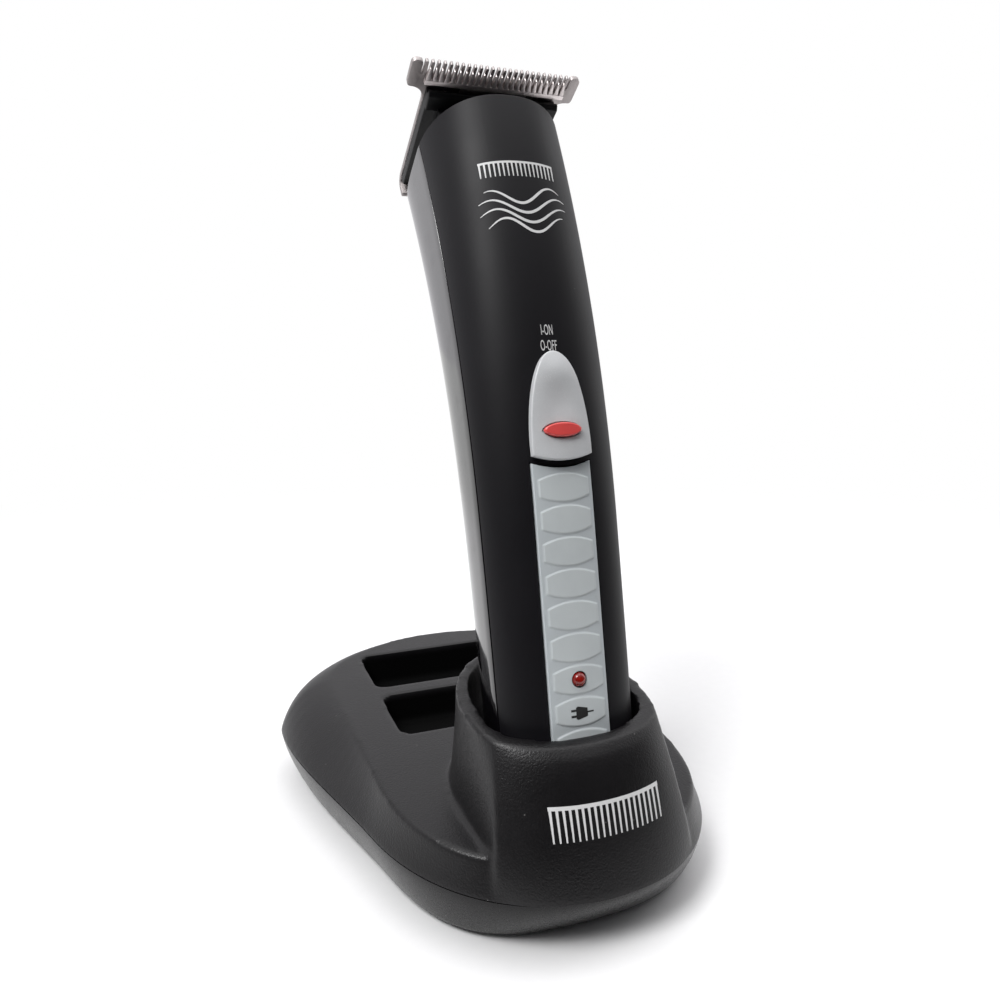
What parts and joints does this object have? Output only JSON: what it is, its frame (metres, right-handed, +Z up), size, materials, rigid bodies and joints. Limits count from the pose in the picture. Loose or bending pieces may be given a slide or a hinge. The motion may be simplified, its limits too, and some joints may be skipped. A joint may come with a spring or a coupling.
{
  "type": "hair clipper",
  "caption": "Cordless T-blade hair clipper with a tilting blade head and a slide switch, standing in a charging stand with two storage wells.",
  "frame": {"origin": "on the ground under the middle of the charging stand, which is the bottom centre of the whole object", "axes": "+Z up; the switch side of the clipper faces -Y; X = 0 is the plane of symmetry"},
  "size_m": [0.104, 0.125, 0.1794],
  "materials": {
    "stand_shell": "fine-grained matte black",
    "stand_pan": "smooth semi-gloss dark grey-black",
    "foot_rubber": "matte black rubber",
    "fastener_steel": "zinc-plated",
    "front_shell": "satin near-black soft-touch",
    "rear_shell": "high-gloss black",
    "grip": "satin pale grey with embossed pads",
    "switch_grey": "smooth pale grey",
    "switch_red": "coral red",
    "lamp_red": "deep red, unlit",
    "blade_steel": "satin ground steel",
    "cutter_steel": "ground steel",
    "black_parts": "moulded black",
    "white_parts": "moulded off-white",
    "board_green": "green laminate",
    "contact_metal": "plated",
    "nickel": "nickel-plated",
    "motor_steel": "plated steel",
    "cell_wrap": "shrink sleeve"
  },
  "bodies": {
    "stand": {"stand_top_shell": "stand_shell", "stand_bottom_pan": "stand_pan", "dc_inlet_jack": "black_parts", "rubber_foot_1": "foot_rubber", "rubber_foot_2": "foot_rubber", "rubber_foot_3": "foot_rubber", "rubber_foot_4": "foot_rubber", "stand_screw_1": "fastener_steel", "stand_screw_2": "fastener_steel", "stand_screw_3": "fastener_steel", "stand_screw_4": "fastener_steel", "stand_circuit_board": "board_green", "contact_block": "white_parts"},
    "charge_pin_left": {"charge_pin_left": "nickel"},
    "charge_pin_right": {"charge_pin_right": "nickel"},
    "handpiece": {"front_shell": "front_shell", "rear_shell": "rear_shell", "grip_strip": "grip", "charge_led": "lamp_red", "contact_plate_left": "contact_metal", "contact_plate_right": "contact_metal", "slide_switch_unit": "black_parts", "battery_cell": "cell_wrap", "battery_tab_negative": "nickel", "battery_tab_positive": "nickel", "circuit_board": "board_green", "body_screw_1": "fastener_steel", "body_screw_2": "fastener_steel", "motor_can": "motor_steel", "motor_end_cap": "white_parts", "head_chassis": "black_parts", "head_hinge_pin": "fastener_steel"},
    "switch": {"switch_button": "switch_grey", "switch_mark": "switch_red"},
    "rotor": {"motor_shaft": "motor_steel", "eccentric_cam": "white_parts"},
    "blade_head": {"fixed_comb_blade": "blade_steel", "blade_holder": "black_parts", "blade_screw_left": "fastener_steel", "blade_screw_right": "fastener_steel", "cutter_tension_spring": "nickel"},
    "cutter": {"cutter_blade": "cutter_steel", "drive_yoke": "white_parts"}
  },
  "joints": [
    {"name": "handpiece_lift", "type": "slide", "parent": "stand", "child": "handpiece", "axis": [0, 0.2045, 0.9789], "range_m": [0, 0.07]},
    {"name": "switch_slide", "type": "slide", "parent": "handpiece", "child": "switch", "axis": [0, 0.2565, 0.9665], "range_m": [0, 0.0045]},
    {"name": "rotor_spin", "type": "hinge", "parent": "handpiece", "child": "rotor", "pos_m": [0, 0.0033, 0.1531], "axis": [0, 0.5548, 0.832], "continuous": true},
    {"name": "blade_head_tilt", "type": "hinge", "parent": "handpiece", "child": "blade_head", "pos_m": [0, 0.0216, 0.15748], "axis": [-1, 0, 0], "range_deg": [0, 38]},
    {"name": "cutter_slide", "type": "slide", "parent": "blade_head", "child": "cutter", "axis": [1, 0, 0], "range_m": [-0.0012, 0.0012]},
    {"name": "charge_pin_left_press", "type": "slide", "parent": "stand", "child": "charge_pin_left", "axis": [0, 0.2045, 0.9789], "range_m": [-0.0015, 0], "stiffness_N_per_m": 300},
    {"name": "charge_pin_right_press", "type": "slide", "parent": "stand", "child": "charge_pin_right", "axis": [0, 0.2045, 0.9789], "range_m": [-0.0015, 0], "stiffness_N_per_m": 300}
  ]
}
